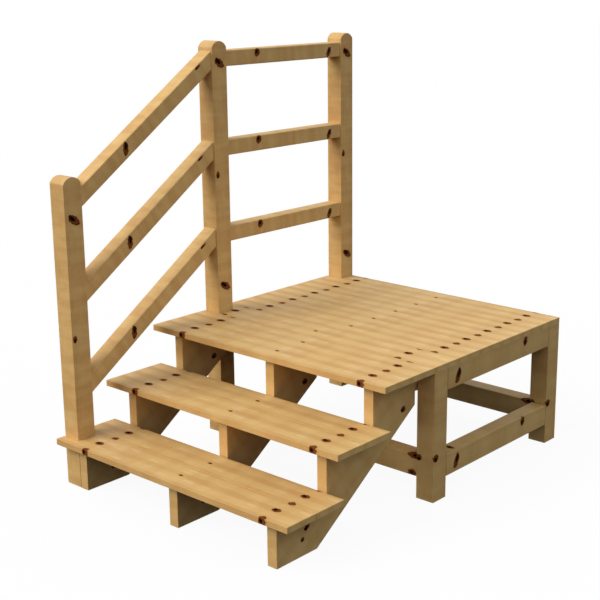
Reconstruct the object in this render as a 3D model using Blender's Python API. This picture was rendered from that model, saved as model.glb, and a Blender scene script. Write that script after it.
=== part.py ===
"""Pine mounting block: two treads and a railed platform, carried by cut stringers and legs.

Metres, +Z up. X runs along the treads with the handrail on the -X side, Y runs from the
first nosing (-Y) to the back of the platform (+Y), and the origin is on the ground under
the middle of the block. Every size below is measured from the block's own corner: across
from the handrail end of the boards, back from the first nosing, and up from the ground.
"""

import math

import bmesh
import bpy
from mathutils import Matrix, Vector

# Overall size
WIDTH = 1.356
DEPTH = 1.866
FIT = 0.0005

# Steps
GOING = 0.283
RISE = 0.192
DECK_HEIGHT = 0.600
NOSING = 0.043
BOARD_THICKNESS = 0.027
TREAD_BOARD_WIDTH = 0.160
DECK_FRONT = 2 * GOING
DECK_BOARDS = 8
DECK_BOARD_PITCH = (DEPTH - DECK_FRONT) / DECK_BOARDS
TREAD_TOPS = (DECK_HEIGHT - 2 * RISE, DECK_HEIGHT - RISE)
FRAME_TOP = DECK_HEIGHT - BOARD_THICKNESS - FIT

# Posts and legs
POST = 0.090
POST_INSET = 0.005
POST_RIGHT = POST_INSET + POST
FRONT_POST_FACE = NOSING + 0.001
LEG_FRONT_FACE = 0.8915
LEG_REAR_FACE = DEPTH - POST
RIGHT_LEG_LEFT = WIDTH - POST
STAIR_POST_HEIGHT = 1.350
DECK_POST_HEIGHT = 1.857
ARCH_RISE = 0.028
ARCH_STEPS = 12

# Stringers
STRINGER_THICKNESS = 0.049
STRINGER_LEFTS = {
    "left": POST_RIGHT + FIT,
    "middle": 0.667,
    "right": WIDTH - POST_RIGHT - FIT - STRINGER_THICKNESS,
}
STRINGER_BACK = 0.884
STRINGER_BACK_LOW = 0.421
STRINGER_HEEL = 0.268

# Platform frame
FRAME_THICKNESS = 0.075
APRON_BOTTOM = 0.480
STRETCHER_BOTTOM = 0.094
STRETCHER_TOP = 0.190
JOIST_THICKNESS = 0.048
JOIST_LEFT = 0.625

# Handrail
RAIL_WIDTH = 0.076
RAIL_HEIGHT = 0.071
RAIL_SPACING = 0.405
DECK_RAIL_TOP_CENTRE = 1.777
STAIR_RAIL_TOP_CENTRE = 1.515
STAIR_RAIL_MIDDLE_Y = 0.5134
PITCH = RISE / GOING
RAIL_NAMES = ("top", "middle", "bottom")

# Eased edges
BOARD_EASE = 0.0015
STRINGER_EASE = 0.0015
POST_EASE = 0.002
RAIL_EASE = 0.003

# Coach screws
SCREW_RADIUS = 0.005
SCREW_HOLE = 0.0055
SCREW_HEAD_FLATS = 0.017
SCREW_HEAD_HEIGHT = 0.0065
SCREW_BITE = 0.060
WASHER_RADIUS = 0.013
WASHER_THICKNESS = 0.002
COUNTERBORE_RADIUS = 0.015
COUNTERBORE_DEPTH = 0.012
SCREW_SIDES = 24
OVERCUT = 0.002
STRINGER_SCREW_HEIGHTS = {"upper": 0.548, "lower": 0.505}
POST_SCREW_HEIGHTS = {"upper": 0.140, "lower": 0.050}

SHIFT = Vector((-WIDTH / 2, -DEPTH / 2, 0.0))


def clear_scene():
    for obj in list(bpy.data.objects):
        bpy.data.objects.remove(obj, do_unlink=True)


def timber(name, color, roughness):
    """A plain wood material; color is linear RGB."""
    material = bpy.data.materials.new(name)
    material.use_nodes = True
    shader = material.node_tree.nodes["Principled BSDF"]
    shader.inputs["Base Color"].default_value = (*color, 1.0)
    shader.inputs["Roughness"].default_value = roughness
    shader.inputs["Metallic"].default_value = 0.0
    return material


def zinc_plate():
    material = timber("zinc_plated_steel", (0.55, 0.56, 0.58), 0.35)
    material.node_tree.nodes["Principled BSDF"].inputs["Metallic"].default_value = 1.0
    return material


def point_on(axis, flat, along):
    """A point of an outline, as (y, z) for axis X and (x, y) for axis Z."""
    if axis == "X":
        return Vector((along, flat[0], flat[1]))
    return Vector((flat[0], flat[1], along))


def prism(name, axis, outline, start, end, material, ease, eased=None):
    """Extrude a closed outline along X or Z, ease its outer edges and add it to the scene.

    eased picks the edges to round by their direction; by default every outward corner is.
    """
    bm = bmesh.new()
    corners = [bm.verts.new(point_on(axis, flat, start)) for flat in outline]
    cap = bm.faces.new(corners)
    grown = bmesh.ops.extrude_face_region(bm, geom=[cap])
    moved = [item for item in grown["geom"] if isinstance(item, bmesh.types.BMVert)]
    push = point_on(axis, (0.0, 0.0), end - start)
    bmesh.ops.translate(bm, verts=moved, vec=push)
    bmesh.ops.recalc_face_normals(bm, faces=bm.faces)
    sharp = [
        edge
        for edge in bm.edges
        if edge.is_convex and edge.calc_face_angle() > math.radians(20)
    ]
    if eased:
        sharp = [edge for edge in sharp if eased(edge_direction(edge))]
    bmesh.ops.bevel(
        bm, geom=sharp, offset=ease, offset_type="OFFSET", segments=2, profile=0.5,
        affect="EDGES", clamp_overlap=True,
    )
    return add_object(name, bm, material)


def edge_direction(edge):
    return (edge.verts[1].co - edge.verts[0].co).normalized()


def runs_back(direction):
    """True for an edge that runs along the stairs or the platform, level or sloping."""
    return abs(direction.y) > 0.5


def add_object(name, bm, material):
    """Put the mesh's origin at the middle of its box, and the object where the mesh was."""
    low = Vector([min(vert.co[i] for vert in bm.verts) for i in range(3)])
    high = Vector([max(vert.co[i] for vert in bm.verts) for i in range(3)])
    middle = (low + high) / 2
    bmesh.ops.translate(bm, verts=bm.verts, vec=-middle)
    mesh = bpy.data.meshes.new(name)
    bm.to_mesh(mesh)
    bm.free()
    mesh.materials.append(material)
    mesh.shade_smooth()
    mesh.set_sharp_from_angle(angle=math.radians(30))
    obj = bpy.data.objects.new(name, mesh)
    obj.location = middle + SHIFT
    bpy.context.scene.collection.objects.link(obj)
    return obj


def beam(name, low, high, material, ease, eased=None):
    """A straight timber between two opposite corners."""
    outline = [(low[1], low[2]), (high[1], low[2]), (high[1], high[2]), (low[1], high[2])]
    return prism(name, "X", outline, low[0], high[0], material, ease, eased)


def board_outline(front, back, notch_front=None):
    """Plan of a board as (x, y), its left end cut away where a post stands."""
    outline = [(WIDTH, front), (WIDTH, back)]
    if notch_front is None:
        return outline + [(0.0, back), (0.0, front)]
    clear = POST_RIGHT + FIT
    near = notch_front - FIT
    far = notch_front + POST + FIT
    if back - far > FIT:
        outline += [(0.0, back), (0.0, far)]
    outline += [(clear, min(far, back)), (clear, max(near, front))]
    if near - front > FIT:
        outline += [(0.0, near), (0.0, front)]
    return outline


def tread_boards(material):
    """Two boards to a tread; the first of all is notched round the stair post."""
    for step, top in enumerate(TREAD_TOPS):
        nosing = step * GOING
        join = nosing + TREAD_BOARD_WIDTH
        notch = FRONT_POST_FACE if step == 0 else None
        outlines = {
            "front": board_outline(nosing, join - FIT, notch),
            "back": board_outline(join, join + TREAD_BOARD_WIDTH),
        }
        for place, outline in outlines.items():
            name = f"tread_{step + 1}_{place}_board"
            prism(name, "Z", outline, top - BOARD_THICKNESS, top, material, BOARD_EASE)


def deck_boards(material):
    """Boards of the platform from front to back, notched where a post comes up through them."""
    bottom = DECK_HEIGHT - BOARD_THICKNESS
    for index in range(DECK_BOARDS):
        front = DECK_FRONT + index * DECK_BOARD_PITCH
        back = min(front + DECK_BOARD_PITCH, DEPTH)
        notch = None
        for face in (LEG_FRONT_FACE, LEG_REAR_FACE):
            if front < face + POST / 2 < back:
                notch = face
        last = index == DECK_BOARDS - 1
        outline = board_outline(front, back if last else back - FIT, notch)
        prism(f"deck_board_{index + 1}", "Z", outline, bottom, DECK_HEIGHT, material, BOARD_EASE)


def stringer_outline():
    """Side view of a cut stringer as (y, z): two steps, a plumb back and a raking underside."""
    seat_1, seat_2 = (top - BOARD_THICKNESS - FIT for top in TREAD_TOPS)
    riser_2 = NOSING + GOING
    riser_3 = NOSING + 2 * GOING
    return [
        (NOSING, 0.0), (STRINGER_HEEL, 0.0),
        (STRINGER_BACK, STRINGER_BACK_LOW), (STRINGER_BACK, FRAME_TOP),
        (riser_3, FRAME_TOP), (riser_3, seat_2),
        (riser_2, seat_2), (riser_2, seat_1),
        (NOSING, seat_1),
    ]


def stringers(material):
    return {
        side: prism(
            f"stringer_{side}", "X", stringer_outline(), left, left + STRINGER_THICKNESS,
            material, STRINGER_EASE,
        )
        for side, left in STRINGER_LEFTS.items()
    }


def arched_outline(face, top):
    """Side view of a post as (y, z), its head a shallow arch from face to face."""
    half = POST / 2
    radius = (half**2 + ARCH_RISE**2) / (2 * ARCH_RISE)
    sweep = math.asin(half / radius)
    centre = (face + half, top - radius)
    arch = []
    for step in range(ARCH_STEPS + 1):
        angle = sweep * (1 - 2 * step / ARCH_STEPS)
        arch.append((centre[0] + radius * math.sin(angle), centre[1] + radius * math.cos(angle)))
    return [(face, 0.0), (face + POST, 0.0)] + arch


def handrail_posts(material):
    posts = {
        "stair_post": (FRONT_POST_FACE, STAIR_POST_HEIGHT),
        "middle_post": (LEG_FRONT_FACE, DECK_POST_HEIGHT),
        "rear_post": (LEG_REAR_FACE, DECK_POST_HEIGHT),
    }
    return {
        name: prism(
            name, "X", arched_outline(face, top), POST_INSET, POST_RIGHT, material, POST_EASE
        )
        for name, (face, top) in posts.items()
    }


def right_legs(material):
    for name, face in (("front_right_leg", LEG_FRONT_FACE), ("rear_right_leg", LEG_REAR_FACE)):
        low = (RIGHT_LEG_LEFT, face, 0.0)
        high = (WIDTH, face + POST, FRAME_TOP)
        beam(name, low, high, material, POST_EASE)


def handrails(material):
    """Three sloping rails from the stair post up to the middle post, three level ones behind."""
    left = POST_INSET + (POST - RAIL_WIDTH) / 2
    right = left + RAIL_WIDTH
    plumb_half = RAIL_HEIGHT / 2 / math.cos(math.atan(PITCH))
    foot = FRONT_POST_FACE + POST + FIT
    head = LEG_FRONT_FACE - FIT
    for index, name in enumerate(RAIL_NAMES):
        drop = index * RAIL_SPACING
        outline = []
        for y, side in ((foot, -1), (head, -1), (head, 1), (foot, 1)):
            centre = STAIR_RAIL_TOP_CENTRE - drop + (y - STAIR_RAIL_MIDDLE_Y) * PITCH
            outline.append((y, centre + side * plumb_half))
        prism(f"stair_rail_{name}", "X", outline, left, right, material, RAIL_EASE, runs_back)
        level = DECK_RAIL_TOP_CENTRE - drop
        low = (left, LEG_FRONT_FACE + POST + FIT, level - RAIL_HEIGHT / 2)
        high = (right, LEG_REAR_FACE - FIT, level + RAIL_HEIGHT / 2)
        beam(f"deck_rail_{name}", low, high, material, RAIL_EASE, runs_back)


def platform_frame(material):
    """Aprons under the deck, the middle joist and the three low stretchers."""
    cross_left = POST_RIGHT + FIT
    cross_right = RIGHT_LEG_LEFT - FIT
    side_front = LEG_FRONT_FACE + POST + FIT
    side_back = LEG_REAR_FACE - FIT
    set_back = (POST - FRAME_THICKNESS) / 2
    header = (STRINGER_BACK + FIT, STRINGER_BACK + FIT + FRAME_THICKNESS)
    front = (LEG_FRONT_FACE + set_back, LEG_FRONT_FACE + set_back + FRAME_THICKNESS)
    rear = (LEG_REAR_FACE + set_back, LEG_REAR_FACE + set_back + FRAME_THICKNESS)
    right = (WIDTH - FRAME_THICKNESS, WIDTH)
    left = (POST_INSET, POST_INSET + FRAME_THICKNESS)
    joist = (JOIST_LEFT, JOIST_LEFT + JOIST_THICKNESS)
    high = (APRON_BOTTOM, FRAME_TOP)
    low = (STRETCHER_BOTTOM, STRETCHER_TOP)
    pieces = {
        "front_apron": ((cross_left, cross_right), header, high),
        "rear_apron": ((cross_left, cross_right), rear, high),
        "left_apron": (left, (side_front, side_back), high),
        "right_apron": (right, (side_front, side_back), high),
        "middle_joist": (joist, (header[1] + FIT, rear[0] - FIT), high),
        "front_stretcher": ((cross_left, cross_right), front, low),
        "rear_stretcher": ((cross_left, cross_right), rear, low),
        "right_stretcher": (right, (side_front, side_back), low),
    }
    return {
        name: beam(
            name, [span[0] for span in spans], [span[1] for span in spans], material,
            STRINGER_EASE,
        )
        for name, spans in pieces.items()
    }


def coach_screw(name, seat, direction, length, material):
    """A hexagon-headed wood screw; its washer bears on seat and the shank runs in direction."""
    head_radius = SCREW_HEAD_FLATS / 2
    head_top = -WASHER_THICKNESS - SCREW_HEAD_HEIGHT
    outline = [
        (0.0, length), (SCREW_RADIUS * 0.3, length), (SCREW_RADIUS, length - 0.012),
        (SCREW_RADIUS, 0.0), (WASHER_RADIUS, 0.0), (WASHER_RADIUS, -WASHER_THICKNESS),
        (head_radius, -WASHER_THICKNESS), (head_radius, head_top), (0.0, head_top),
    ]
    bm = bmesh.new()
    profile = [bm.verts.new((radius, 0.0, along)) for radius, along in outline]
    edges = [bm.edges.new(pair) for pair in zip(profile, profile[1:])]
    bmesh.ops.spin(
        bm, geom=profile + edges, cent=(0, 0, 0), axis=(0, 0, 1), angle=2 * math.pi,
        steps=SCREW_SIDES,
    )
    bmesh.ops.remove_doubles(bm, verts=bm.verts, dist=1e-6)
    for vert in bm.verts:
        if abs(vert.co.xy.length - head_radius) < 1e-5:
            pull_to_hexagon(vert, head_radius)
    bmesh.ops.recalc_face_normals(bm, faces=bm.faces)
    aim(bm, seat, direction)
    return add_object(name, bm, material)


def pull_to_hexagon(vert, flat_radius):
    angle = math.atan2(vert.co.y, vert.co.x)
    wedge = (angle + math.pi / 6) % (math.pi / 3) - math.pi / 6
    reach = flat_radius / math.cos(wedge)
    vert.co.x = reach * math.cos(angle)
    vert.co.y = reach * math.sin(angle)


def aim(bm, start, direction):
    """Turn a mesh made along +Z to run in direction, from start."""
    turn = Vector((0, 0, 1)).rotation_difference(Vector(direction))
    bm.transform(Matrix.Translation(Vector(start)) @ turn.to_matrix().to_4x4())


def drill(target, entry, direction, depth, radius):
    """Cut a round hole of the given depth into target, starting just outside its face."""
    bm = bmesh.new()
    bmesh.ops.create_cone(
        bm, cap_ends=True, segments=SCREW_SIDES, radius1=radius, radius2=radius,
        depth=depth + OVERCUT,
    )
    bmesh.ops.translate(bm, verts=bm.verts, vec=(0.0, 0.0, (depth - OVERCUT) / 2))
    aim(bm, entry, direction)
    cutter = add_object(f"cutter_{len(bpy.data.objects)}", bm, target.data.materials[0])
    cutter.hide_render = True
    cutter.display_type = "WIRE"
    cut = target.modifiers.new("hole", "BOOLEAN")
    cut.operation = "DIFFERENCE"
    cut.solver = "EXACT"
    cut.object = cutter


def stringer_screws(stringer_objects, frame, material):
    """Two coach screws through the front apron into the back edge of each stringer."""
    back = STRINGER_BACK + FIT + FRAME_THICKNESS
    length = FRAME_THICKNESS + SCREW_BITE
    for side, left in STRINGER_LEFTS.items():
        for place, height in STRINGER_SCREW_HEIGHTS.items():
            x = left + STRINGER_THICKNESS / 2
            head = (x, back + FIT, height)
            coach_screw(f"coach_screw_{side}_{place}", head, (0, -1, 0), length, material)
            drill(frame["front_apron"], (x, back, height), (0, -1, 0), 0.1, SCREW_HOLE)
            entry = (x, STRINGER_BACK, height)
            drill(stringer_objects[side], entry, (0, -1, 0), SCREW_BITE + 0.004, SCREW_HOLE)


def post_screws(post, stringer, material):
    """Two counterbored coach screws through the stair post into the left stringer."""
    face = POST_INSET
    seat = face + COUNTERBORE_DEPTH
    bite = STRINGER_THICKNESS * 0.7
    length = POST_RIGHT - seat + bite
    y = FRONT_POST_FACE + POST / 2
    for place, height in POST_SCREW_HEIGHTS.items():
        coach_screw(f"coach_screw_post_{place}", (seat - FIT, y, height), (1, 0, 0), length, material)
        drill(post, (face, y, height), (1, 0, 0), COUNTERBORE_DEPTH, COUNTERBORE_RADIUS)
        drill(post, (face, y, height), (1, 0, 0), 0.1, SCREW_HOLE)
        drill(stringer, (STRINGER_LEFTS["left"], y, height), (1, 0, 0), bite + 0.004, SCREW_HOLE)


def main():
    clear_scene()
    boards = timber("pine_boards", (0.72, 0.47, 0.19), 0.6)
    carcass = timber("pine_frame", (0.62, 0.39, 0.15), 0.6)
    rails = timber("pine_handrail", (0.66, 0.42, 0.17), 0.55)
    tread_boards(boards)
    deck_boards(boards)
    stringer_objects = stringers(carcass)
    right_legs(carcass)
    frame = platform_frame(carcass)
    posts = handrail_posts(rails)
    handrails(rails)
    steel = zinc_plate()
    stringer_screws(stringer_objects, frame, steel)
    post_screws(posts["stair_post"], stringer_objects["left"], steel)


main()
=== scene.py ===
"""Looks for a pine mounting block: planed timbers with knots, coach screws and a studio stage.

Run as a script. Each group of like timbers has its own operator. All places and sizes come
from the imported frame: metres, +Z up, the handrail on the -X side and the steps at -Y.
"""

import functools
import math

import bmesh
import bpy
from mathutils import Euler, Matrix, Vector


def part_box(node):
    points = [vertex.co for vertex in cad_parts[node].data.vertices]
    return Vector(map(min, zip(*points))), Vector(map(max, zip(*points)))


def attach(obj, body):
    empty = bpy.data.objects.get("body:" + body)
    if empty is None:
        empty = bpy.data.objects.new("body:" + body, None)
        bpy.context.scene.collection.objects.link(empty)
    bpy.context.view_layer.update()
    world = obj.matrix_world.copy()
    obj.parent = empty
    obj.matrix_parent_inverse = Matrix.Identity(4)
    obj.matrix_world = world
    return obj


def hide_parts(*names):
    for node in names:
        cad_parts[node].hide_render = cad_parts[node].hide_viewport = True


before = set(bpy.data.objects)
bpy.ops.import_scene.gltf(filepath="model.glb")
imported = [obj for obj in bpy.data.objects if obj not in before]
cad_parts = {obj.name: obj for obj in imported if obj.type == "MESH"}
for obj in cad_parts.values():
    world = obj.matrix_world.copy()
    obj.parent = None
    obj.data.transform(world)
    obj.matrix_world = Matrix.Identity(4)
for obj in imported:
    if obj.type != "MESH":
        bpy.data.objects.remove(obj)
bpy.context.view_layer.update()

bl_info = {
    "name": "Pine mounting block",
    "version": (1, 0, 0),
    "blender": (4, 5, 0),
    "location": "View3D > Sidebar > Mounting block",
    "description": "Planed pine timbers, knots and coach screws of a mounting block",
    "category": "Object",
}

BODY = "root"
GRAIN = "grain"
TONE = "tone"
DECK_BOARDS = [f"deck_board_{number}" for number in range(1, 9)]
TREAD_BOARDS = [f"tread_{step}_{place}_board" for step in (1, 2) for place in ("front", "back")]
STRINGERS = [f"stringer_{side}" for side in ("left", "middle", "right")]
POSTS = ("stair_post", "middle_post", "rear_post")
LEGS = ("front_right_leg", "rear_right_leg")
RAIL_ROWS = ("top", "middle", "bottom")
CROSS_TIMBERS = ("front_apron", "rear_apron", "front_stretcher", "rear_stretcher")
LONG_TIMBERS = ("left_apron", "right_apron", "middle_joist", "right_stretcher")
SCREWS = [
    f"coach_screw_{place}_{level}"
    for place in ("left", "middle", "right", "post")
    for level in ("upper", "lower")
]

# Kinds of node, by their names in Blender
MATHS = "ShaderNodeMath"
VECTOR = "ShaderNodeVectorMath"
RANGE = "ShaderNodeMapRange"
NOISE = "ShaderNodeTexNoise"
MIX = "ShaderNodeMix"
SMOOTH = {"interpolation_type": "SMOOTHSTEP"}
COLOURS = {"data_type": "RGBA", "output": 2}

# Knots, in their own radii: beyond the reach of any, and the pull of the dark side
OUT_OF_REACH = 10.0
DARK_PULL = 0.6

# How far inside an edge the first mesh cut lies, in radii of its arris
BOARD_INSET = 1.25
POST_INSET = 1.2

# Narrowest strip left beside a notch, and how near two faces are that count as flush
SLIVER = 0.001
FLUSH = 0.01

TONE_SPREAD = 0.12
CORNER_ANGLE = math.radians(20)
SHADING_ANGLE = math.radians(32)


# ---------------------------------------------------------------- settings


def length_property(name, description, default):
    return bpy.props.FloatProperty(
        name=name, description=description, default=default, min=0.0, precision=4,
        subtype="DISTANCE", unit="LENGTH",
    )


def linear(hex_colour):
    """An sRGB hex colour as linear RGB."""
    channels = [int(hex_colour[i:i + 2], 16) / 255 for i in (1, 3, 5)]
    return tuple(c / 12.92 if c <= 0.04045 else ((c + 0.055) / 1.055) ** 2.4 for c in channels)


def colour_property(name, description, hex_colour):
    return bpy.props.FloatVectorProperty(
        name=name, description=description, default=linear(hex_colour), min=0.0, max=1.0,
        size=3, subtype="COLOR",
    )


def strength_property(name, description, default):
    return bpy.props.FloatProperty(name=name, description=description, default=default, min=0.0)


def angle_property(name, description, degrees):
    return bpy.props.FloatProperty(
        name=name, description=description, default=math.radians(degrees), subtype="ANGLE",
    )


class TimberSettings(bpy.types.PropertyGroup):
    """Shapes that the plain frame leaves out."""

    board_arris: length_property("Board arris", "Radius rounded onto a board's edges", 0.0015)
    frame_arris: length_property("Frame arris", "Radius rounded onto frame timbers", 0.0015)
    post_arris: length_property("Post arris", "Radius rounded onto posts and legs", 0.0020)
    rail_arris: length_property("Rail arris", "Radius rounded along the handrails", 0.0050)
    arch_rise: length_property("Arch rise", "Height of the arched head of a post", 0.0280)
    rail_height: length_property("Rail height", "Depth of a handrail, square to it", 0.0710)
    stringer_heel: length_property("Stringer heel", "Length that a stringer stands on", 0.2250)
    stringer_back: length_property("Stringer back", "Height of its plumb cut", 0.1520)
    cut_along: length_property("Cuts along", "Spacing of mesh cuts along the grain", 0.0300)
    cut_across: length_property("Cuts across", "Spacing of mesh cuts across it", 0.0120)
    bore_radius: length_property("Counterbore radius", "Round a screw's sunk head", 0.0150)
    bore_depth: length_property("Counterbore depth", "From the post's face to its seat", 0.0120)
    butt_gap: length_property("Butt gap", "Opened by shrinkage where timbers meet", 0.0025)
    notch_gap: length_property("Notch gap", "Clearance of a board round a post", 0.0005)
    trimmed: length_property("Trimmed", "Sawn off the board that starts at a post", 0.0700)
    cup: length_property("Cup", "How far a board's middle stands above its edges", 0.0004)
    unevenness: length_property("Unevenness", "Depth of hollows left by the planer", 0.0003)


class WoodSettings(bpy.types.PropertyGroup):
    """Colours and growth of the pine."""

    earlywood: colour_property("Earlywood", "Pale wood grown in spring", "#E2BE7C")
    latewood: colour_property("Latewood", "Darker wood grown in summer", "#CC9E60")
    fleck: colour_property("Fleck", "Pale figure where the fibres tilt", "#EDCF9E")
    knot_core: colour_property("Knot core", "Middle of a knot", "#120602")
    knot_wood: colour_property("Knot wood", "Reddish branch wood", "#7A421E")
    knot_bark: colour_property("Knot bark", "Dark rim of bark round a knot", "#1C0B04")
    ring_width: length_property("Ring width", "Growth of one year, drawn coarse", 0.0045)
    band_spacing: length_property("Band spacing", "From one dark band to the next", 0.0812)
    whorl_spacing: length_property("Whorl spacing", "Growth between rings of branches", 0.5175)


class StageSettings(bpy.types.PropertyGroup):
    """Floor, light and camera."""

    floor: colour_property("Floor", "Paint that takes the soft shadow", "#404040")
    floor_glow: strength_property("Floor glow", "Brightness that no shadow takes away", 0.94)
    floor_reach: length_property("Floor reach", "From its middle to its edge", 40.0)
    sky: colour_property("Sky", "Soft light from above", "#EFF6FF")
    sky_strength: strength_property("Sky strength", "Brightness of the soft light", 1.04)
    sky_overhead: strength_property("Sky overhead", "What is left of it straight above", 0.4)
    key: colour_property("Key", "Main light, a little warm", "#FFF9F2")
    key_strength: strength_property("Key strength", "Brightness of the main light", 2.3)
    key_azimuth: angle_property("Key azimuth", "Turn of the main light about +Z from -Y", -26)
    key_elevation: angle_property("Key elevation", "Height of it above the ground", 40)
    key_softness: angle_property("Key softness", "Angle that the main light fills", 45)
    camera_place: bpy.props.FloatVectorProperty(
        name="Camera", description="Where the camera stands", default=(3.499, -3.917, 2.1836),
        subtype="TRANSLATION", unit="LENGTH",
    )
    camera_azimuth: angle_property("Azimuth", "Camera's turn about +Z from +Y", 40.0785)
    camera_elevation: angle_property("Elevation", "How far the camera looks down", 14.8532)
    lens: bpy.props.FloatProperty(
        name="Lens", description="Focal length in millimetres on a 36 mm sensor",
        default=74.06, min=1.0,
    )
    shift_x: bpy.props.FloatProperty(name="Shift X", description="Sideways shift", default=-0.0878)
    shift_y: bpy.props.FloatProperty(name="Shift Y", description="Upward shift", default=-0.0121)


# ---------------------------------------------------------------- nodes and materials


def node(tree, kind, *values, output=0, **settings):
    """Add a node and return one of its outputs.

    values fill its inputs in order, and a dict among them fills inputs by name or number.
    An output among the values is linked, and settings are the node's own properties.
    """
    made = tree.nodes.new(kind)
    for name, value in settings.items():
        setattr(made, name, value)
    filled = {}
    for number, value in enumerate(values):
        filled.update(value if isinstance(value, dict) else {number: value})
    for socket, value in filled.items():
        if isinstance(value, bpy.types.NodeSocket):
            tree.links.new(value, made.inputs[socket])
        else:
            made.inputs[socket].default_value = value
    return made.outputs[output] if made.outputs else made


def mixed(factor, first, second):
    """Inputs of a mix node that blends two colours."""
    return {0: factor, 6: first, 7: second}


def streaks(make, place, along, across, detail, seed):
    """A pattern drawn out along the grain; along and across are the sizes of one streak."""
    scaled = make(VECTOR, place, (1 / along, 1 / across, 1 / across), operation="MULTIPLY")
    return make(
        NOISE, {"Vector": scaled, "W": seed, "Scale": 1.0, "Detail": detail},
        noise_dimensions="4D",
    )


class Knot:
    """A branch met by the saw.

    centre and radii run along, across and through the timber. tilt turns the knot in its
    face, and dark points from its middle to its blackened side, along and across.
    """

    def __init__(self, centre, radii, tilt=0.0, dark=(-1.0, 0.0)):
        self.centre = centre
        self.radii = radii
        self.tilt = tilt
        self.dark = dark


def knot_distance(make, place, knot, ragged):
    """How far a point is from a knot's middle, 1 at its rim, and the same less on its dark side."""
    offset = make(VECTOR, place, knot.centre, operation="SUBTRACT")
    turned = make(
        "ShaderNodeVectorRotate", {"Vector": offset, "Angle": knot.tilt}, rotation_type="Z_AXIS"
    )
    scale = tuple(1 / radius for radius in knot.radii)
    scaled = make(VECTOR, turned, scale, operation="MULTIPLY")
    length = make(VECTOR, scaled, operation="LENGTH", output=1)
    pull = (-DARK_PULL * knot.dark[0], -DARK_PULL * knot.dark[1], 0.0)
    lean = make(VECTOR, scaled, pull, operation="DOT_PRODUCT", output=1)
    return (
        make(MATHS, length, ragged, operation="ADD"), make(MATHS, length, lean, operation="ADD")
    )


def new_material(name):
    """A material, the function that adds nodes to it, and its shader."""
    material = bpy.data.materials.new(name)
    material.use_nodes = True
    tree = material.node_tree
    return material, functools.partial(node, tree), tree.nodes["Principled BSDF"]


def knot_field(make, place, knots):
    """How far a point is from the nearest knot, and the same less on the knots' dark sides."""
    rough_edge = streaks(make, place, 0.011, 0.011, 1.0, 3.0)
    ragged = make(RANGE, rough_edge, 0.3, 0.7, -0.13, 0.13, **SMOOTH)
    nearest = OUT_OF_REACH
    leaning = OUT_OF_REACH
    for knot in knots:
        distance, lean = knot_distance(make, place, knot, ragged)
        nearest = make(MATHS, distance, nearest, operation="MINIMUM")
        leaning = make(MATHS, lean, leaning, operation="MINIMUM")
    return nearest, leaning


def late_growth(make, place, pith, nearest):
    """Rings about the pith, pushed aside by knots: 1 in the dark wood of each late summer."""
    ring_width = bpy.context.scene.block_wood.ring_width
    swell = make(RANGE, nearest, 0.8, 2.6, 0.009, 0.0, **SMOOTH)
    wander = streaks(make, place, 0.30, 0.050, 2.0, 11.0)
    centred = make(VECTOR, place, (0.0, pith[0], pith[1]), operation="SUBTRACT")
    flat = make(VECTOR, centred, (0.0, 1.0, 1.0), operation="MULTIPLY")
    radial = make(VECTOR, flat, operation="LENGTH", output=1)
    radial = make(MATHS, wander, 0.030, radial, operation="MULTIPLY_ADD")
    radial = make(MATHS, radial, swell, operation="ADD")
    year = make(MATHS, radial, ring_width, operation="DIVIDE")
    year = make(MATHS, year, operation="FRACT")
    rising = make(RANGE, year, 0.35, 0.88, 0.0, 1.0, **SMOOTH)
    ending = make(RANGE, year, 0.90, 1.0, 1.0, 0.0, **SMOOTH)
    return make(MATHS, rising, ending, operation="MULTIPLY")


def band_wave(make, place):
    """Bands that run along the timber and drift across it: 1 in the middle of a dark one."""
    band_spacing = bpy.context.scene.block_wood.band_spacing
    across = make("ShaderNodeSeparateXYZ", place, output="Y")
    drift = streaks(make, place, 0.50, 0.080, 1.0, 21.0)
    phase = make(MATHS, across, math.tau / band_spacing, operation="MULTIPLY")
    phase = make(MATHS, drift, 2.4, phase, operation="MULTIPLY_ADD")
    phase = make(MATHS, phase, 1.2, operation="SUBTRACT")
    return make(RANGE, make(MATHS, phase, operation="COSINE"), -0.5, 1.0, 0.0, 1.0, **SMOOTH)


def pale_flecks(make, place, wave, strength):
    """Flecks where the fibres tilt: long cells, some of them chosen, between the dark bands."""
    cells = make(VECTOR, place, (1 / 0.068, 1 / 0.026, 1 / 0.026), operation="MULTIPLY")
    cell = {"Vector": cells, "Scale": 1.0, "Randomness": 0.55}
    reach = make("ShaderNodeTexVoronoi", cell, distance="CHEBYCHEV")
    lot = make("ShaderNodeTexVoronoi", cell, distance="CHEBYCHEV", output="Color")
    lot = make("ShaderNodeSeparateColor", lot)
    chosen = make(RANGE, lot, 0.60, 0.72, 0.0, 1.0, **SMOOTH)
    fleck = make(RANGE, reach, 0.32, 0.50, strength, 0.0, **SMOOTH)
    fleck = make(MATHS, fleck, chosen, operation="MULTIPLY")
    clear = make(MATHS, 1.0, wave, operation="SUBTRACT")
    return make(MATHS, fleck, clear, operation="MULTIPLY")


def branch_colour(make, nearest, leaning, bark):
    """A knot's own colour: black on one side, reddish on the other, with a rim of bark."""
    wood = bpy.context.scene.block_wood
    side = make(RANGE, leaning, 0.22, 0.52, 0.0, 1.0, **SMOOTH)
    branch = make(MIX, mixed(side, (*wood.knot_core, 1.0), (*wood.knot_wood, 1.0)), **COLOURS)
    rim = make(RANGE, nearest, 0.72, 0.92, 0.0, bark, **SMOOTH)
    return make(MIX, mixed(rim, branch, (*wood.knot_bark, 1.0)), **COLOURS)


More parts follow.
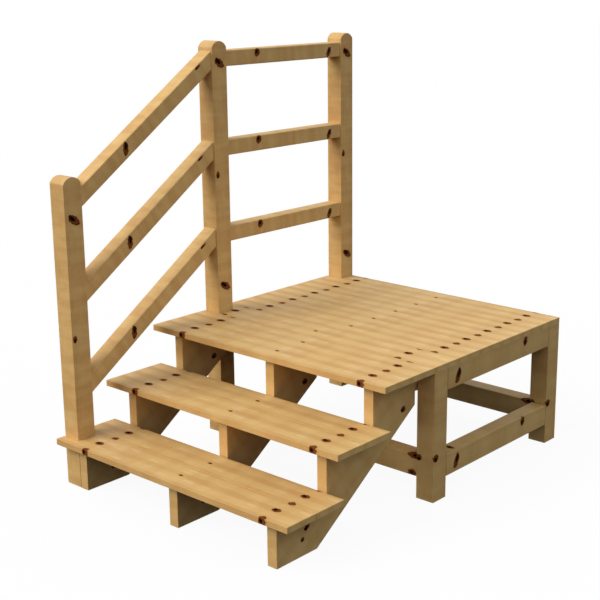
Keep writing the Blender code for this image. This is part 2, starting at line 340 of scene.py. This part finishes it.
def planed_pine(name, pith, knots, banding, curl, bark):
    """Scots pine, planed and left uncoated: satin, with faint rings, bands and dark knots.

    The grain attribute gives metres along, across and through the timber, so rings are
    lines on its faces and arcs on its ends. pith is where the tree's heart was, across and
    through. banding and curl say how strong the bands along and across the grain are, and
    bark how dark the rims of the knots are.
    """
    wood = bpy.context.scene.block_wood
    material, make, shader = new_material(name)
    links = material.node_tree.links
    place = make("ShaderNodeAttribute", output="Vector", attribute_name=GRAIN)
    tone = make("ShaderNodeAttribute", output="Fac", attribute_name=TONE)
    nearest, leaning = knot_field(make, place, knots)
    late = late_growth(make, place, pith, nearest)

    # Bands along the timber, figure across it, slow patches and single fibres
    wave = band_wave(make, place)
    fading = make(RANGE, streaks(make, place, 0.20, 0.30, 1.0, 23.0), 0.35, 0.65, 0.45, 1.0, **SMOOTH)
    band = make(MATHS, wave, fading, operation="MULTIPLY")
    figure = make(RANGE, streaks(make, place, 0.040, 0.14, 2.0, 31.0), 0.36, 0.64, 0.0, 1.0, **SMOOTH)
    patch = make(RANGE, streaks(make, place, 0.16, 0.50, 0.0, 27.0), 0.36, 0.64, 0.0, 1.0, **SMOOTH)
    fibre = streaks(make, place, 0.070, 0.0030, 3.0, 41.0)
    layers = (
        (late, 0.16), (band, 0.58 * banding), (figure, 0.55 * curl), (patch, 0.26), (fibre, 0.90),
    )
    darkness = tone
    for layer, strength in layers:
        darkness = make(MATHS, layer, strength, darkness, operation="MULTIPLY_ADD")
    darkness = make(MATHS, darkness, 0.34, operation="SUBTRACT", use_clamp=True)
    colour = make(
        MIX, mixed(darkness, (*wood.earlywood, 1.0), (*wood.latewood, 1.0)), **COLOURS
    )
    fleck = pale_flecks(make, place, wave, 0.27 * banding**2)
    colour = make(MIX, mixed(fleck, colour, (*wood.fleck, 1.0)), **COLOURS)

    # Knots stain the wood round them
    halo = make(RANGE, nearest, 1.0, 1.8, 0.45, 0.0, **SMOOTH)
    colour = make(MIX, mixed(halo, colour, (*wood.latewood, 1.0)), **COLOURS)
    branch = branch_colour(make, nearest, leaning, bark)
    inside = make(RANGE, nearest, 0.94, 1.10, 1.0, 0.0, **SMOOTH)
    colour = make(MIX, mixed(inside, colour, branch), **COLOURS)

    # Latewood is smoother than earlywood; knots stand proud and are duller than either
    roughness = make(RANGE, late, 0.0, 1.0, 0.62, 0.50)
    roughness = make(MATHS, inside, 0.30, roughness, operation="MULTIPLY_ADD")
    shine = make(RANGE, inside, 0.0, 1.0, 0.30, 0.05)
    height = make(MATHS, late, 0.55, fibre, operation="MULTIPLY_ADD")
    height = make(MATHS, inside, 1.2, height, operation="MULTIPLY_ADD")
    bump = make("ShaderNodeBump", {"Strength": 0.35, "Distance": 0.0004, "Height": height})
    links.new(colour, shader.inputs["Base Color"])
    links.new(roughness, shader.inputs["Roughness"])
    links.new(shine, shader.inputs["Specular IOR Level"])
    links.new(bump, shader.inputs["Normal"])
    shader.inputs["IOR"].default_value = 1.45
    return material


def zinc_plated_steel():
    """Cold-forged steel, zinc plated: a bright grey metal with a fine crystalline haze."""
    material, make, shader = new_material("zinc_plated_cold_forged_steel")
    links = material.node_tree.links
    place = make("ShaderNodeTexCoord", output="Object")
    haze = make(NOISE, {"Vector": place, "Scale": 900.0, "Detail": 3.0})
    colour = make(MIX, mixed(haze, (*linear("#BFC2C6"), 1.0), (*linear("#DADCDF"), 1.0)), **COLOURS)
    roughness = make(RANGE, haze, 0.3, 0.7, 0.45, 0.60, **SMOOTH)
    links.new(colour, shader.inputs["Base Color"])
    links.new(roughness, shader.inputs["Roughness"])
    shader.inputs["Metallic"].default_value = 0.85
    return material


def whorls(first, count):
    """Places along a timber where the tree had its rings of branches."""
    spacing = bpy.context.scene.block_wood.whorl_spacing
    return [first + index * spacing for index in range(count)]


# ---------------------------------------------------------------- timbers


def ground_outline(box_low, box_high, notch=None):
    """Plan of a board as (x, y), without the corner or slot that a post takes."""
    outline = [(box_high.x, box_low.y), (box_high.x, box_high.y)]
    if notch is None:
        return outline + [(box_low.x, box_high.y), (box_low.x, box_low.y)]
    clear, near, far = notch
    if box_high.y - far > SLIVER:
        outline += [(box_low.x, box_high.y), (box_low.x, far)]
    outline += [(clear, min(far, box_high.y)), (clear, max(near, box_low.y))]
    if near - box_low.y > SLIVER:
        outline += [(box_low.x, near), (box_low.x, box_low.y)]
    return outline


def side_outline(box_low, box_high):
    """Side view of a straight timber as (y, z)."""
    return [
        (box_low.y, box_low.z), (box_high.y, box_low.z),
        (box_high.y, box_high.z), (box_low.y, box_high.z),
    ]


def point_on(axis, flat, along):
    if axis == "X":
        return Vector((along, flat[0], flat[1]))
    return Vector((flat[0], flat[1], along))


def prism(axis, outline, start, end):
    """A closed outline given thickness along X or Z, as a bmesh."""
    bm = bmesh.new()
    cap = bm.faces.new([bm.verts.new(point_on(axis, flat, start)) for flat in outline])
    grown = bmesh.ops.extrude_face_region(bm, geom=[cap])
    moved = [item for item in grown["geom"] if isinstance(item, bmesh.types.BMVert)]
    bmesh.ops.translate(bm, verts=moved, vec=point_on(axis, (0.0, 0.0), end - start))
    bmesh.ops.recalc_face_normals(bm, faces=bm.faces)
    return bm


def round_arrises(bm, radius, chosen=None):
    """Round every outward corner, or only the edges whose direction chosen accepts."""
    sharp = []
    for edge in bm.edges:
        direction = (edge.verts[1].co - edge.verts[0].co).normalized()
        if edge.is_convex and edge.calc_face_angle() > CORNER_ANGLE:
            if chosen is None or chosen(direction):
                sharp.append(edge)
    bmesh.ops.bevel(
        bm, geom=sharp, offset=radius, offset_type="OFFSET", segments=4, profile=0.5,
        affect="EDGES", clamp_overlap=True,
    )


def cut_planes(low, high, spacing, margin):
    """Even places between two ends, and one just inside each rounded arris."""
    count = max(1, round((high - low) / spacing))
    even = [low + (high - low) * step / count for step in range(1, count)]
    clear = [place for place in even if low + 2 * margin < place < high - 2 * margin]
    return [low + margin] + clear + [high - margin]


def cut_through(bm, spacings, margin):
    """Slice the mesh into small faces, so that it can be uneven and shades cleanly."""
    corners = [vert.co for vert in bm.verts]
    for axis in range(3):
        low = min(co[axis] for co in corners)
        high = max(co[axis] for co in corners)
        normal = Vector([float(axis == index) for index in range(3)])
        for place in cut_planes(low, high, spacings[axis], margin):
            everything = bm.verts[:] + bm.edges[:] + bm.faces[:]
            bmesh.ops.bisect_plane(bm, geom=everything, plane_co=normal * place, plane_no=normal)
        corners = [vert.co.copy() for vert in bm.verts]


def sawn(axis, outline, ends, arris, inset, spacings, chosen=None):
    """A timber cut to its outline, with rounded arrises and small faces, as a bmesh."""
    bm = prism(axis, outline, *ends)
    round_arrises(bm, arris, chosen)
    cut_through(bm, spacings, arris * inset)
    return bm


class Grain:
    """A timber's own axes: where it starts, the way it grew, and the way across its face."""

    def __init__(self, origin, along, across):
        self.origin = Vector(origin)
        self.along = Vector(along).normalized()
        self.across = Vector(across).normalized()
        self.through = self.along.cross(self.across)

    def place(self, point):
        offset = Vector(point) - self.origin
        return (offset.dot(self.along), offset.dot(self.across), offset.dot(self.through))


def object_from(name, bm):
    """A bmesh as an object of the scene."""
    mesh = bpy.data.meshes.new(name)
    bm.to_mesh(mesh)
    bm.free()
    made = bpy.data.objects.new(name, mesh)
    bpy.context.scene.collection.objects.link(made)
    return made


def add_piece(name, bm, material, grain):
    """Finish the piece that stands for a node of the frame: grain, planed surface, parented to the
    body, the frame's own part hidden.
    """
    piece = object_from(f"pine_{name}", bm)
    mesh = piece.data
    places = [part for vert in mesh.vertices for part in grain.place(vert.co)]
    mesh.attributes.new(GRAIN, "FLOAT_VECTOR", "POINT").data.foreach_set("vector", places)
    tones = [tone_of(name)] * len(mesh.vertices)
    mesh.attributes.new(TONE, "FLOAT", "POINT").data.foreach_set("value", tones)
    apply_planing(piece, material)
    piece.data.shade_smooth()
    piece.data.set_sharp_from_angle(angle=SHADING_ANGLE)
    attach(piece, BODY)
    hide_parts(name)


def planing_tree():
    """Geometry nodes that leave the shallow hollows of a planed surface on a timber."""
    tree = bpy.data.node_groups.get("planed_surface")
    if tree:
        return tree
    tree = bpy.data.node_groups.new("planed_surface", "GeometryNodeTree")
    face = tree.interface
    face.new_socket("Timber", in_out="INPUT", socket_type="NodeSocketGeometry")
    for name, default in (("Hollow length", 0.22), ("Hollow width", 0.035), ("Depth", 0.0004)):
        face.new_socket(name, in_out="INPUT", socket_type="NodeSocketFloat").default_value = default
    face.new_socket("Seed", in_out="INPUT", socket_type="NodeSocketFloat")
    face.new_socket("Material", in_out="INPUT", socket_type="NodeSocketMaterial")
    face.new_socket("Planed timber", in_out="OUTPUT", socket_type="NodeSocketGeometry")
    given = tree.nodes.new("NodeGroupInput").outputs
    make = functools.partial(node, tree)
    grain = make("GeometryNodeInputNamedAttribute", {"Name": GRAIN}, data_type="FLOAT_VECTOR")
    size = make(
        "ShaderNodeCombineXYZ", given["Hollow length"], given["Hollow width"],
        given["Hollow width"],
    )
    scaled = make(VECTOR, grain, size, operation="DIVIDE")
    hollows = make(
        NOISE, {"Vector": scaled, "W": given["Seed"], "Scale": 1.0, "Detail": 1.0},
        noise_dimensions="4D",
    )
    depth = make(MATHS, given["Depth"], -1.0, operation="MULTIPLY")
    sunk = make(MATHS, hollows, depth, operation="MULTIPLY")
    normal = make("GeometryNodeInputNormal")
    offset = make(VECTOR, normal, {"Scale": sunk}, operation="SCALE")
    moved = make("GeometryNodeSetPosition", {"Geometry": given["Timber"], "Offset": offset})
    real = make("GeometryNodeRealizeInstances", moved)
    done = make("GeometryNodeSetMaterial", {"Geometry": real, "Material": given["Material"]})
    make("NodeGroupOutput", done)
    return tree


def set_input(modifier, name, value):
    """Set a geometry nodes input by its socket's identifier."""
    for item in modifier.node_group.interface.items_tree:
        if item.name == name and item.in_out == "INPUT":
            modifier[item.identifier] = value


def bake_modifiers(piece):
    """Turn the evaluated result into the piece's own plain mesh."""
    bpy.context.view_layer.update()
    graph = bpy.context.evaluated_depsgraph_get()
    plain = bpy.data.meshes.new_from_object(piece.evaluated_get(graph))
    piece.modifiers.clear()
    piece.data = plain


def apply_planing(piece, material):
    modifier = piece.modifiers.new("planing", "NODES")
    modifier.node_group = planing_tree()
    set_input(modifier, "Depth", bpy.context.scene.block_timber.unevenness)
    set_input(modifier, "Seed", float(number_for(piece.name, 1, 97)))
    set_input(modifier, "Material", material)
    bake_modifiers(piece)


def number_for(name, stride, count):
    """A fixed whole number below count for each name."""
    return sum(map(ord, name)) * stride % count


def tone_of(name):
    """A fixed small difference in colour from one timber to the next."""
    return number_for(name, 37, 100) / 100 * TONE_SPREAD


class BLOCK_OT_boards(bpy.types.Operator):
    """Lay the deck and tread boards, notched round the posts"""

    bl_idname = "mounting_block.boards"
    bl_label = "Boards"

    def execute(self, context):
        timber = context.scene.block_timber
        material = board_pine()
        spacings = (timber.cut_along, timber.cut_across, timber.cut_across)
        middle_post_low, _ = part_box("middle_post")
        for name in TREAD_BOARDS + DECK_BOARDS:
            low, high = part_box(name)
            outline = ground_outline(low, high, post_notch(low, high, timber.notch_gap))
            ends = (low.z, high.z)
            bm = sawn("Z", outline, ends, timber.board_arris, BOARD_INSET, spacings)
            cup_board(bm, low, high, timber.cup)
            starts_at_post = abs(low.y - middle_post_low.y) < FLUSH
            stock_end = low.x - timber.trimmed if starts_at_post else low.x
            grain = Grain((stock_end, low.y, high.z), (1, 0, 0), (0, 1, 0))
            add_piece(name, bm, material, grain)
        return {"FINISHED"}


def post_notch(low, high, gap):
    """(clear x, near y, far y) of the post that comes up through a board, if one does."""
    for post in POSTS:
        post_low, post_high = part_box(post)
        middle = (post_low.y + post_high.y) / 2
        if low.y < middle < high.y and post_low.z < low.z < post_high.z:
            return post_high.x + gap, post_low.y - gap, post_high.y + gap
    return None


def cup_board(bm, low, high, rise):
    """Raise the middle of a board's top and bottom a little, as drying leaves it."""
    middle = (low.y + high.y) / 2
    half = (high.y - low.y) / 2
    for vert in bm.verts:
        vert.co.z -= rise * ((vert.co.y - middle) / half) ** 2


def board_pine():
    """Large knots near both ends and a small one between, with halves of others at the edges."""
    first, middle, last = whorls(0.188, 3)
    knots = [Knot((middle, 0.077, 0.0), (0.011, 0.007, 0.020))]
    for u in (first, last):
        knots.append(Knot((u, 0.084, 0.0), (0.0215, 0.0155, 0.030), 0.0, (-0.9, 0.4)))
        knots.append(Knot((u + 0.005, 0.004, -0.013), (0.019, 0.017, 0.0225)))
        knots.append(Knot((u + 0.005, 0.164, -0.010), (0.020, 0.014, 0.022)))
    return planed_pine("scots_pine_planed_board", (0.070, -0.085), knots, 1.0, 0.25, 0.1)


class BLOCK_OT_stringers(bpy.types.Operator):
    """Cut the stringers that carry the treads"""

    bl_idname = "mounting_block.stringers"
    bl_label = "Stringers"

    def execute(self, context):
        timber = context.scene.block_timber
        knots = [
            Knot((0.205, 0.000, 0.0), (0.020, 0.012, 0.040), -0.15),
            Knot((0.156, -0.023, 0.0), (0.010, 0.009, 0.020)),
            Knot((0.867, -0.081, 0.0), (0.015, 0.013, 0.040)),
        ]
        material = planed_pine("scots_pine_sawn_stringer", (0.10, 0.060), knots, 0.4, 0.5, 0.7)
        spacings = (timber.cut_across, timber.cut_along, timber.cut_along)
        deck_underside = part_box(DECK_BOARDS[0])[0].z
        for name in STRINGERS:
            low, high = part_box(name)
            against_post = timber.butt_gap if name == "stringer_left" else 0.0
            outline = stringer_outline(low, high, timber)
            ends = (low.x + against_post, high.x)
            bm = sawn("X", outline, ends, timber.frame_arris, BOARD_INSET, spacings)
            run = high.y - low.y - timber.stringer_heel
            rake = Vector((0.0, run, deck_underside - timber.stringer_back))
            grain = Grain((high.x, low.y, low.z), rake, Vector((1, 0, 0)).cross(rake))
            add_piece(name, bm, material, grain)
        return {"FINISHED"}


def stringer_outline(low, high, timber):
    """Side view as (y, z): two seats under the treads, a plumb back and a raking underside."""
    first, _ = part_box(TREAD_BOARDS[0])
    second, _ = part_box(TREAD_BOARDS[2])
    going = second.y - first.y
    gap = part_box(DECK_BOARDS[0])[0].z - high.z
    return [
        (low.y, low.z), (low.y + timber.stringer_heel, low.z),
        (high.y, high.z - timber.stringer_back), (high.y, high.z),
        (low.y + 2 * going, high.z), (low.y + 2 * going, second.z - gap),
        (low.y + going, second.z - gap), (low.y + going, first.z - gap),
        (low.y, first.z - gap),
    ]


class BLOCK_OT_posts(bpy.types.Operator):
    """Stand the handrail posts, with their arched heads, and the two right legs"""

    bl_idname = "mounting_block.posts"
    bl_label = "Posts and legs"

    def execute(self, context):
        timber = context.scene.block_timber
        spacings = (timber.cut_across, timber.cut_across, timber.cut_along)
        low_knot, side_knot, high_knot = whorls(0.7255, 3)
        side_knot += 0.011
        # The stair post is cut from the same stock, this much further up the tree
        further_up = 0.589
        slanting = {"radii": (0.017, 0.032, 0.022), "tilt": -0.55, "dark": (0.3, -1.0)}
        small = {"radii": (0.0155, 0.0105, 0.015)}
        tall = [
            Knot((low_knot, 0.045, 0.0), **slanting),
            Knot((side_knot, 0.017, 0.0), **small),
            Knot((high_knot, 0.044, 0.0), **slanting),
        ]
        short = [
            Knot((side_knot - further_up, 0.015, 0.0), **small),
            Knot((high_knot - further_up, 0.044, 0.0), **slanting),
        ]
        tall_pine = planed_pine("scots_pine_planed_post", (0.035, 0.050), tall, 0.25, 0.8, 0.7)
        short_pine = planed_pine(
            "scots_pine_planed_stair_post", (0.035, 0.050), short, 0.25, 0.8, 0.7
        )
        materials = {"stair_post": short_pine, "middle_post": tall_pine, "rear_post": tall_pine}
        for name in POSTS:
            low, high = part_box(name)
            outline = arched_outline(low, high, timber.arch_rise)
            ends = (low.x, high.x)
            bm = sawn("X", outline, ends, timber.post_arris, POST_INSET, spacings)
            if name == "stair_post":
                bm = counterbored(bm, low.x, timber)
            grain = Grain((high.x, low.y, low.z), (0, 0, 1), (0, 1, 0))
            add_piece(name, bm, materials[name], grain)
        leg_knots = [
            Knot((0.1975, 0.015, 0.0), (0.017, 0.017, 0.012)),
            Knot((0.188, 0.0, 0.078), (0.015, 0.012, 0.015)),
        ]
        pine = planed_pine("scots_pine_planed_leg", (0.035, 0.050), leg_knots, 0.25, 0.5, 0.7)
        for name in LEGS:
            low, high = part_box(name)
            outline = side_outline(low, high)
            ends = (low.x, high.x)
            bm = sawn("X", outline, ends, timber.post_arris, POST_INSET, spacings)
            grain = Grain((high.x, low.y, low.z), (0, 0, 1), (0, 1, 0))
            add_piece(name, bm, pine, grain)
        return {"FINISHED"}


def counterbored(bm, face, timber):
    """The stair post with a flat-bottomed hole from its -X face for each sunk screw head.

    Each drill is centred on the face, so half of its length sinks into the post.
    """
    drill = bmesh.new()
    for name in SCREWS:
        low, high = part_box(name)
        if low.x < face + timber.bore_depth:
            middle = Vector((face, (low.y + high.y) / 2, (low.z + high.z) / 2))
            turned = Matrix.Translation(middle) @ Matrix.Rotation(math.pi / 2, 4, "Y")
            bmesh.ops.create_cone(
                drill, cap_ends=True, segments=48, radius1=timber.bore_radius,
                radius2=timber.bore_radius, depth=2 * timber.bore_depth, matrix=turned,
            )
    blank = object_from("post_blank", bm)
    cutter = object_from("counterbore_drill", drill)
    modifier = blank.modifiers.new("counterbores", "BOOLEAN")
    modifier.operation = "DIFFERENCE"
    modifier.solver = "EXACT"
    modifier.object = cutter
    bake_modifiers(blank)
    bored = bmesh.new()
    bored.from_mesh(blank.data)
    for helper in (blank, cutter):
        bpy.data.objects.remove(helper)
    return bored


def arched_outline(low, high, rise):
    """Side view of a post as (y, z), with a shallow arch for its head."""
    half = (high.y - low.y) / 2
    radius = (half**2 + rise**2) / (2 * rise)
    sweep = math.asin(half / radius)
    steps = 24
    arch = []
    for step in range(steps + 1):
        angle = sweep * (1 - 2 * step / steps)
        y = low.y + half + radius * math.sin(angle)
        arch.append((y, high.z - radius * (1 - math.cos(angle))))
    return [(low.y, low.z), (high.y, low.z)] + arch


class BLOCK_OT_rails(bpy.types.Operator):
    """Fit the sloping and the level handrails"""

    bl_idname = "mounting_block.rails"
    bl_label = "Handrails"

    def execute(self, context):
        timber = context.scene.block_timber
        first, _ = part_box(TREAD_BOARDS[0])
        second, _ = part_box(TREAD_BOARDS[2])
        slope = math.atan2(second.z - first.z, second.y - first.y)
        plumb = timber.rail_height / math.cos(slope)
        spacings = (timber.cut_across, timber.cut_along, timber.cut_along)
        near, far = whorls(0.280, 2)
        stair_knots = [
            Knot((near, 0.030, 0.0), (0.014, 0.029, 0.020), -0.59, (0.3, -1.0)),
            Knot((far + 0.011, 0.009, 0.0), (0.018, 0.006, 0.012)),
        ]
        near, far = whorls(0.2044, 2)
        deck_knots = [
            Knot((near, 0.018, 0.0), (0.017, 0.020, 0.014), -0.2, (-0.8, -0.5)),
            Knot((far - 0.013, 0.043, 0.0), (0.013, 0.026, 0.020), -0.47, (-0.6, -0.7)),
        ]
        stair_pine = planed_pine(
            "scots_pine_moulded_stair_rail", (0.080, 0.030), stair_knots, 0.3, 0.8, 0.7
        )
        deck_pine = planed_pine(
            "scots_pine_moulded_deck_rail", (0.080, 0.030), deck_knots, 0.3, 0.7, 0.7
        )
        for row in RAIL_ROWS:
            name = f"stair_rail_{row}"
            low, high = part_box(name)
            outline = [
                (low.y, low.z), (high.y, high.z - plumb), (high.y, high.z),
                (low.y, low.z + plumb),
            ]
            ends = (low.x, high.x)
            bm = sawn("X", outline, ends, timber.rail_arris, POST_INSET, spacings, runs_back)
            rake = (0.0, math.cos(slope), math.sin(slope))
            grain = Grain((high.x, low.y, low.z + plumb), rake, (0.0, rake[2], -rake[1]))
            add_piece(name, bm, stair_pine, grain)
            name = f"deck_rail_{row}"
            low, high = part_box(name)
            outline = side_outline(low, high)
            ends = (low.x, high.x)
            bm = sawn("X", outline, ends, timber.rail_arris, POST_INSET, spacings, runs_back)
            grain = Grain((high.x, low.y, high.z), (0, 1, 0), (0, 0, -1))
            add_piece(name, bm, deck_pine, grain)
        return {"FINISHED"}


def runs_back(direction):
    """True for an edge that runs along a handrail, level or sloping."""
    return abs(direction.y) > 0.5


class BLOCK_OT_carcass(bpy.types.Operator):
    """Frame the platform: aprons, middle joist and low stretchers"""

    bl_idname = "mounting_block.carcass"
    bl_label = "Platform frame"

    def execute(self, context):
        timber = context.scene.block_timber
        near, far = whorls(0.0745, 2)
        side_knots = [
            Knot((near, 0.049, 0.0), (0.016, 0.034, 0.020), -0.38, (0.0, -1.0)),
            Knot((near + 0.007, 0.0, 0.044), (0.011, 0.010, 0.024)),
            Knot((far, 0.019, 0.0), (0.015, 0.022, 0.020), -0.3, (0.0, 1.0)),
        ]
        cross_knots = [
            Knot((1.155, 0.003, 0.0), (0.034, 0.014, 0.030), 0.0, (1.0, 0.0)),
            Knot((1.143, 0.083, 0.0), (0.022, 0.013, 0.020), 0.0, (-0.5, 0.0)),
        ]
        side = planed_pine(
            "scots_pine_planed_side_timber", (0.120, 0.050), side_knots, 0.4, 0.3, 0.6
        )
        cross = planed_pine(
            "scots_pine_planed_cross_timber", (0.120, 0.050), cross_knots, 0.4, 0.3, 0.3
        )
        spacings = (timber.cut_across, timber.cut_along, timber.cut_across)
        shrinkage = Vector((0.0, timber.butt_gap, 0.0))
        for name in LONG_TIMBERS:
            low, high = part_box(name)
            outline = side_outline(low + shrinkage, high - shrinkage)
            ends = (low.x, high.x)
            bm = sawn("X", outline, ends, timber.frame_arris, BOARD_INSET, spacings)
            grain = Grain((high.x, low.y, high.z), (0, 1, 0), (0, 0, -1))
            add_piece(name, bm, side, grain)
        spacings = (timber.cut_along, timber.cut_across, timber.cut_across)
        for name in CROSS_TIMBERS:
            low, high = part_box(name)
            outline = side_outline(low, high)
            ends = (low.x + timber.butt_gap, high.x - timber.butt_gap)
            bm = sawn("X", outline, ends, timber.frame_arris, BOARD_INSET, spacings)
            grain = Grain((low.x, low.y, high.z), (1, 0, 0), (0, 0, -1))
            add_piece(name, bm, cross, grain)
        return {"FINISHED"}


class BLOCK_OT_screws(bpy.types.Operator):
    """Give the coach screws their plating"""

    bl_idname = "mounting_block.screws"
    bl_label = "Coach screws"

    def execute(self, context):
        steel = zinc_plated_steel()
        for name in SCREWS:
            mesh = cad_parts[name].data
            mesh.materials.clear()
            mesh.materials.append(steel)
        return {"FINISHED"}


class BLOCK_OT_stage(bpy.types.Operator):
    """Set the floor, the soft light and the camera"""

    bl_idname = "mounting_block.stage"
    bl_label = "Stage"

    def execute(self, context):
        stage = context.scene.block_stage
        lay_floor(stage)
        light_sky(context.scene, stage)
        hang_key(stage)
        place_camera(context.scene, stage)
        context.scene.view_settings.view_transform = "Standard"
        return {"FINISHED"}


def lay_floor(stage):
    bm = bmesh.new()
    bmesh.ops.create_grid(bm, x_segments=1, y_segments=1, size=stage.floor_reach)
    mesh = bpy.data.meshes.new("studio_floor")
    bm.to_mesh(mesh)
    bm.free()
    material, _, shader = new_material("painted_studio_floor")
    shader.inputs["Base Color"].default_value = (*stage.floor, 1.0)
    shader.inputs["Roughness"].default_value = 0.9
    shader.inputs["Specular IOR Level"].default_value = 0.0
    shader.inputs["Emission Color"].default_value = (1.0, 1.0, 1.0, 1.0)
    shader.inputs["Emission Strength"].default_value = stage.floor_glow
    mesh.materials.append(material)
    floor = bpy.data.objects.new("studio_floor", mesh)
    floor.visible_diffuse = False
    floor.visible_glossy = False
    bpy.context.scene.collection.objects.link(floor)


def light_sky(scene, stage):
    """White where the camera sees it; as a light it is dark below the horizon, brightest
    between 20 and 30 degrees up, and dimmer overhead.
    """
    world = bpy.data.worlds.new("studio_sky")
    world.use_nodes = True
    world.node_tree.nodes.clear()
    make = functools.partial(node, world.node_tree)
    direction = make("ShaderNodeTexCoord", output="Generated")
    up = make("ShaderNodeSeparateXYZ", direction, output="Z")
    rising = make(RANGE, up, 0.0, 0.35, 0.0, stage.sky_strength, **SMOOTH)
    fading = make(RANGE, up, 0.5, 1.0, 1.0, stage.sky_overhead, **SMOOTH)
    shine = make(MATHS, rising, fading, operation="MULTIPLY")
    light = make("ShaderNodeBackground", {"Color": (*stage.sky, 1.0), "Strength": shine})
    seen = make("ShaderNodeBackground", {"Color": (1.0, 1.0, 1.0, 1.0), "Strength": 1.0})
    path = make("ShaderNodeLightPath", output="Is Camera Ray")
    make("ShaderNodeOutputWorld", make("ShaderNodeMixShader", path, light, seen))
    scene.world = world


def hang_key(stage):
    sun = bpy.data.lights.new("key_light", "SUN")
    sun.energy = stage.key_strength
    sun.color = stage.key
    sun.angle = stage.key_softness
    key = bpy.data.objects.new("key_light", sun)
    key.rotation_euler = Euler(
        (math.pi / 2 - stage.key_elevation, 0.0, stage.key_azimuth), "XYZ"
    )
    bpy.context.scene.collection.objects.link(key)


def place_camera(scene, stage):
    lens = bpy.data.cameras.new("camera")
    lens.lens = stage.lens
    lens.sensor_width = 36.0
    lens.shift_x = stage.shift_x
    lens.shift_y = stage.shift_y
    lens.clip_end = 200.0
    camera = bpy.data.objects.new("camera", lens)
    camera.location = stage.camera_place
    camera.rotation_euler = (
        math.pi / 2 - stage.camera_elevation, 0.0, stage.camera_azimuth
    )
    scene.collection.objects.link(camera)
    scene.camera = camera


# ---------------------------------------------------------------- add-on


class BLOCK_PT_panel(bpy.types.Panel):
    """Buttons for each group of pieces"""

    bl_idname = "BLOCK_PT_panel"
    bl_label = "Mounting block"
    bl_space_type = "VIEW_3D"
    bl_region_type = "UI"
    bl_category = "Mounting block"

    def draw(self, context):
        for operator in OPERATORS:
            self.layout.operator(operator.bl_idname)


OPERATORS = (
    BLOCK_OT_boards,
    BLOCK_OT_stringers,
    BLOCK_OT_posts,
    BLOCK_OT_rails,
    BLOCK_OT_carcass,
    BLOCK_OT_screws,
    BLOCK_OT_stage,
)
SETTINGS = {
    "block_timber": TimberSettings,
    "block_wood": WoodSettings,
    "block_stage": StageSettings,
}


def register():
    for group in SETTINGS.values():
        bpy.utils.register_class(group)
    for name, group in SETTINGS.items():
        setattr(bpy.types.Scene, name, bpy.props.PointerProperty(type=group))
    for operator in OPERATORS:
        bpy.utils.register_class(operator)
    bpy.utils.register_class(BLOCK_PT_panel)


def unregister():
    bpy.utils.unregister_class(BLOCK_PT_panel)
    for operator in reversed(OPERATORS):
        bpy.utils.unregister_class(operator)
    for name, group in SETTINGS.items():
        delattr(bpy.types.Scene, name)
        bpy.utils.unregister_class(group)


def main():
    register()
    for operator in OPERATORS:
        group, name = operator.bl_idname.split(".")
        getattr(getattr(bpy.ops, group), name)()


if __name__ == "__main__":
    main()
